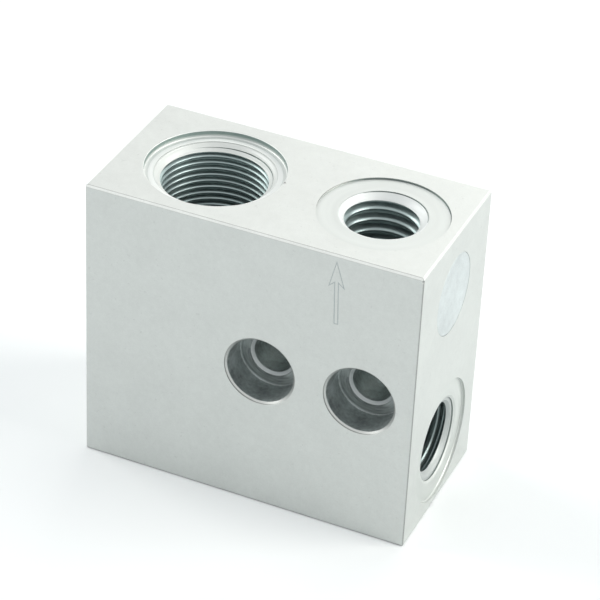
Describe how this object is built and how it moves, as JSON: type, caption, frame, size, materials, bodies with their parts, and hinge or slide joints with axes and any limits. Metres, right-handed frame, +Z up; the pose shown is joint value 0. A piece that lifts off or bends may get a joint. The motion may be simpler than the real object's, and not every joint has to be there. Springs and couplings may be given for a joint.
{
  "type": "cartridge valve",
  "caption": "Rectangular aluminium valve block with a threaded cartridge cavity, threaded inlet and outlet ports, counterbored mounting holes and a spring-loaded flow regulator inside.",
  "frame": {"origin": "middle of the block's bottom face", "axes": "+X to the right, out of the inlet port; +Y to the back, away from the face with the counterbored holes; +Z up, out of the cavity's mouth and the outlet port"},
  "size_m": [0.05, 0.025, 0.045],
  "materials": {
    "block_aluminium": "machined, fine matt, clear passivated",
    "plug_aluminium": "machined flush, satin",
    "ring_steel": "dark phosphated spring steel",
    "sleeve_steel": "turned and ground",
    "seal_rubber": "smooth nitrile rubber",
    "backup_ptfe": "white PTFE",
    "nose_plug_steel": "turned",
    "filter_stainless": "slotted stainless tube",
    "shim_steel": "stamped",
    "spring_steel": "drawn wire",
    "piston_steel": "hardened and ground",
    "poppet_steel": "hardened and turned",
    "jet_brass": "turned brass"
  },
  "bodies": {
    "valve": {"valve_body": "block_aluminium", "closing_plug": "plug_aluminium", "retaining_ring": "ring_steel", "cartridge_sleeve": "sleeve_steel", "sleeve_o_ring": "seal_rubber", "lower_backup_ring": "backup_ptfe", "upper_backup_ring": "backup_ptfe", "nose_plug": "nose_plug_steel", "filter_screen": "filter_stainless", "sleeve_cap": "sleeve_steel", "cap_o_ring": "seal_rubber", "cap_snap_ring": "ring_steel", "spring_shim": "shim_steel", "compensator_spring": "spring_steel"},
    "piston": {"compensator_piston": "piston_steel", "check_retainer": "shim_steel", "check_snap_ring": "ring_steel", "check_spring": "spring_steel"},
    "poppet": {"check_poppet": "poppet_steel", "orifice_jet": "jet_brass"}
  },
  "joints": [
    {"name": "piston_slide", "type": "slide", "parent": "valve", "child": "piston", "axis": [0, 0, 1], "range_m": [0, 0.002], "stiffness_N_per_m": 1700, "springref_m": -0.004, "deforming": ["compensator_spring"]},
    {"name": "poppet_slide", "type": "slide", "parent": "piston", "child": "poppet", "axis": [0, 0, 1], "range_m": [-0.0008, 0], "stiffness_N_per_m": 1900, "springref_m": 0.0003, "deforming": ["check_spring"]}
  ]
}
